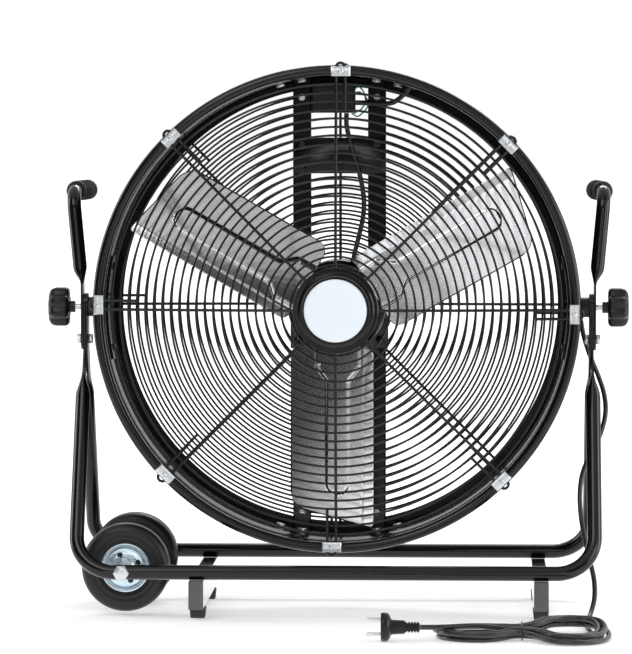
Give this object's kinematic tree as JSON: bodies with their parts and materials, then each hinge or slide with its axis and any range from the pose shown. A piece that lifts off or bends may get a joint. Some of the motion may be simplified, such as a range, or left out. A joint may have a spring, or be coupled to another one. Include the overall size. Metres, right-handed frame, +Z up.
{
  "type": "drum fan",
  "caption": "Drum fan in a tilting barrel with wire guards, a pitched blade rotor, a wheeled tube stand with handles, clamp knobs and a coiled mains cord.",
  "frame": {"origin": "on the floor, under the middle of the stand and drum, cord left out", "axes": "+X to the right seen from the front, along the tilt axis; +Y to the rear, along the fan's axis; +Z up"},
  "size_m": [0.798, 0.584, 0.754],
  "materials": {
    "black_enamel": "semi-gloss stove enamel",
    "black_wire": "semi-gloss enamelled steel wire",
    "grey_steel": "satin grey sheet steel",
    "zinc": "bright zinc plating",
    "bright_steel": "ground bar",
    "grey_plastic": "moulded",
    "black_rubber": "matte",
    "tyre_rubber": "matte",
    "badge_pale": "plain pale disc, satin",
    "cord_jacket": "satin cable jacket",
    "black_plastic": "moulded, fine grain"
  },
  "bodies": {
    "base": {"base_frame_front": "black_enamel", "base_frame_rear": "black_enamel", "foot_bar_left": "black_enamel", "foot_bar_right": "black_enamel", "foot_cap_left_front": "grey_plastic", "foot_cap_left_rear": "grey_plastic", "foot_cap_right_front": "grey_plastic", "foot_cap_right_rear": "grey_plastic", "foot_pad_left_front": "black_rubber", "foot_pad_left_rear": "black_rubber", "foot_pad_right_front": "black_rubber", "foot_pad_right_rear": "black_rubber", "leg_bolt_left": "zinc", "leg_bolt_right": "zinc", "handle_left": "black_enamel", "handle_right": "black_enamel", "grip_left": "black_rubber", "grip_right": "black_rubber", "axle": "zinc", "cord_free": "cord_jacket", "cord_hank": "cord_jacket", "cord_tie": "zinc", "plug": "black_plastic"},
    "drum": {"drum_shell": "black_enamel", "front_guard": "black_wire", "rear_guard": "black_wire", "badge_disc": "badge_pale", "guard_clip_1": "zinc", "guard_clip_2": "zinc", "guard_clip_3": "zinc", "guard_clip_4": "zinc", "guard_clip_5": "zinc", "guard_clip_6": "zinc", "guard_clip_7": "zinc", "guard_clip_8": "zinc", "motor_housing": "black_enamel", "motor_bracket": "black_enamel", "cross_plate": "black_enamel", "rail_left": "black_enamel", "rail_right": "black_enamel", "switch_box": "black_plastic", "pivot_strap_left": "black_enamel", "pivot_strap_right": "black_enamel", "pivot_spacer_left": "black_plastic", "pivot_spacer_right": "black_plastic", "drum_lead": "cord_jacket", "strain_relief": "black_rubber", "motor_cable": "cord_jacket"},
    "fan": {"blade_1": "grey_steel", "blade_2": "grey_steel", "blade_3": "grey_steel", "fan_spider": "black_enamel", "motor_shaft": "bright_steel"},
    "wheel_front": {"tyre_front": "tyre_rubber", "wheel_rim_front": "zinc"},
    "wheel_rear": {"tyre_rear": "tyre_rubber", "wheel_rim_rear": "zinc"},
    "knob_left": {"pivot_knob_left": "black_plastic"},
    "knob_right": {"pivot_knob_right": "black_plastic"},
    "switch": {"switch_knob": "black_plastic"}
  },
  "joints": [
    {"name": "drum_tilt", "type": "hinge", "parent": "base", "child": "drum", "pos_m": [0, 0, 0.417], "axis": [1, 0, 0], "range_deg": [-90, 90], "deforming": ["cord_free"]},
    {"name": "fan_spin", "type": "hinge", "parent": "drum", "child": "fan", "pos_m": [0, -0.025, 0.417], "axis": [0, 1, 0], "continuous": true},
    {"name": "wheel_front_roll", "type": "hinge", "parent": "base", "child": "wheel_front", "pos_m": [-0.287, -0.08, 0.0652], "axis": [0, 1, 0], "continuous": true},
    {"name": "wheel_rear_roll", "type": "hinge", "parent": "base", "child": "wheel_rear", "pos_m": [-0.287, 0.08, 0.0652], "axis": [0, 1, 0], "continuous": true},
    {"name": "knob_left_turn", "type": "hinge", "parent": "drum", "child": "knob_left", "pos_m": [-0.385, 0, 0.417], "axis": [1, 0, 0], "range_deg": [-360, 0]},
    {"name": "knob_right_turn", "type": "hinge", "parent": "drum", "child": "knob_right", "pos_m": [0.385, 0, 0.417], "axis": [1, 0, 0], "range_deg": [0, 360]},
    {"name": "switch_turn", "type": "hinge", "parent": "drum", "child": "switch", "pos_m": [-0.028, 0.1, 0.70293], "axis": [0, 1, 0], "range_deg": [0, 90]}
  ]
}
